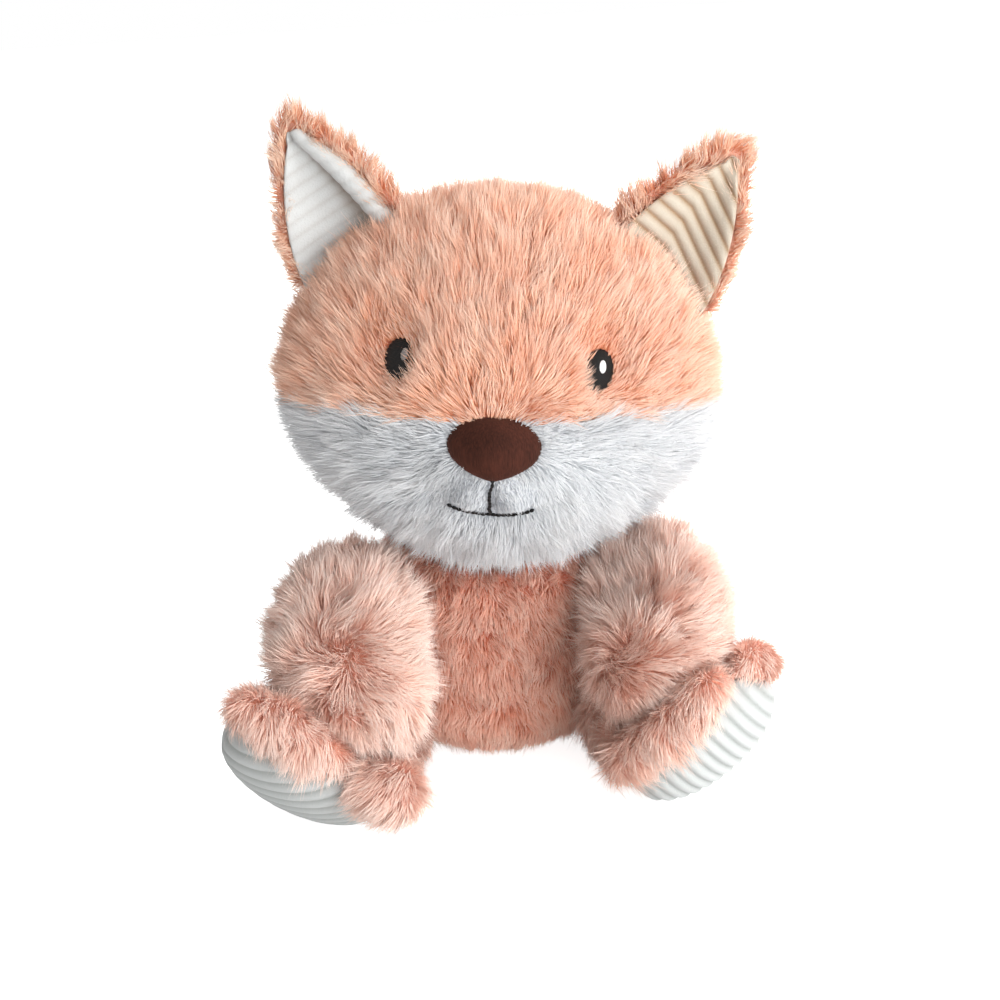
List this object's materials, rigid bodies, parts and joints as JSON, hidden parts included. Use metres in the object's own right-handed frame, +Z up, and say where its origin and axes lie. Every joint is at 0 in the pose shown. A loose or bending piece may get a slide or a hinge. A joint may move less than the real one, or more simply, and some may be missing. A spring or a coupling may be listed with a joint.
{
  "type": "plush fox",
  "caption": "Seated plush fox with a large round head, upright cupped ears, soft jointed limbs and ribbed soles, that sits by itself",
  "frame": {"origin": "on the surface it sits on, under the middle of the seat", "axes": "+Z up; -Y is the way it faces; +X is its own left"},
  "size_m": [0.1955, 0.1846, 0.2315],
  "materials": {
    "peach_fur": "long-pile fur fabric",
    "white_fur": "long-pile fur fabric",
    "ribbed_corduroy": "wide-rib corduroy",
    "brown_velour": "short-pile velour",
    "black_thread": "satin stitch",
    "pale_thread": "satin stitch",
    "fibre_filling": "loose polyester fibre",
    "pellet_pouch": "woven pouch of plastic pellets"
  },
  "bodies": {
    "torso": {"torso_fur": "peach_fur", "torso_stuffing": "fibre_filling", "seat_pellet_bag": "pellet_pouch"},
    "neck": {"neck_stuffing": "fibre_filling"},
    "head": {"crown_fur": "peach_fur", "face_fur": "white_fur", "head_back_fur": "peach_fur", "head_stuffing": "fibre_filling", "eye_left": "black_thread", "eye_right": "black_thread", "eye_glint_left": "pale_thread", "eye_glint_right": "pale_thread", "nose_patch": "brown_velour", "philtrum_stitch": "black_thread", "smile_stitch": "black_thread"},
    "ear_left": {"ear_back_left": "peach_fur", "ear_lining_left": "ribbed_corduroy"},
    "ear_right": {"ear_back_right": "peach_fur", "ear_lining_right": "ribbed_corduroy"},
    "arm_left": {"arm_fur_left": "peach_fur", "arm_stuffing_left": "fibre_filling"},
    "arm_right": {"arm_fur_right": "peach_fur", "arm_stuffing_right": "fibre_filling"},
    "leg_left": {"leg_fur_left": "peach_fur", "leg_stuffing_left": "fibre_filling", "sole_pad_left": "ribbed_corduroy"},
    "leg_right": {"leg_fur_right": "peach_fur", "leg_stuffing_right": "fibre_filling", "sole_pad_right": "ribbed_corduroy"},
    "tail": {"tail_fur": "peach_fur", "tail_tip_fur": "white_fur", "tail_stuffing": "fibre_filling"}
  },
  "joints": [
    {"name": "neck_turn", "type": "hinge", "parent": "torso", "child": "neck", "pos_m": [0, 0, 0.079], "axis": [0, 0, 1], "range_deg": [-20, 20], "stiffness_Nm_per_rad": 0.2},
    {"name": "head_nod", "type": "hinge", "parent": "neck", "child": "head", "pos_m": [0, 0, 0.079], "axis": [0.9851, -0.1297, -0.1132], "range_deg": [-10, 4], "stiffness_Nm_per_rad": 0.8},
    {"name": "ear_left_flex", "type": "hinge", "parent": "head", "child": "ear_left", "pos_m": [0.06122, -0.00806, 0.17046], "axis": [-0.797, 0.1049, 0.5948], "range_deg": [-12, 12], "stiffness_Nm_per_rad": 0.02},
    {"name": "ear_right_flex", "type": "hinge", "parent": "head", "child": "ear_right", "pos_m": [-0.03925, 0.00517, 0.182], "axis": [-0.9092, 0.1197, -0.3987], "range_deg": [-12, 12], "stiffness_Nm_per_rad": 0.02},
    {"name": "arm_left_raise", "type": "hinge", "parent": "torso", "child": "arm_left", "pos_m": [0.0435, -0.00537, 0.063], "axis": [-0.9015, 0, 0.4327], "range_deg": [0, 50]},
    {"name": "arm_right_raise", "type": "hinge", "parent": "torso", "child": "arm_right", "pos_m": [-0.0435, -0.00537, 0.063], "axis": [-0.9015, 0, -0.4327], "range_deg": [0, 50]},
    {"name": "leg_left_splay", "type": "hinge", "parent": "torso", "child": "leg_left", "pos_m": [0.036, -0.01075, 0.02], "axis": [0, 0, 1], "range_deg": [-8, 12], "stiffness_Nm_per_rad": 0.1},
    {"name": "leg_right_splay", "type": "hinge", "parent": "torso", "child": "leg_right", "pos_m": [-0.036, -0.01075, 0.02], "axis": [0, 0, -1], "range_deg": [-8, 12], "stiffness_Nm_per_rad": 0.1},
    {"name": "tail_wag", "type": "hinge", "parent": "torso", "child": "tail", "pos_m": [0, 0.0345, 0.02], "axis": [0, 0, 1], "range_deg": [-22, 22], "stiffness_Nm_per_rad": 0.03}
  ]
}
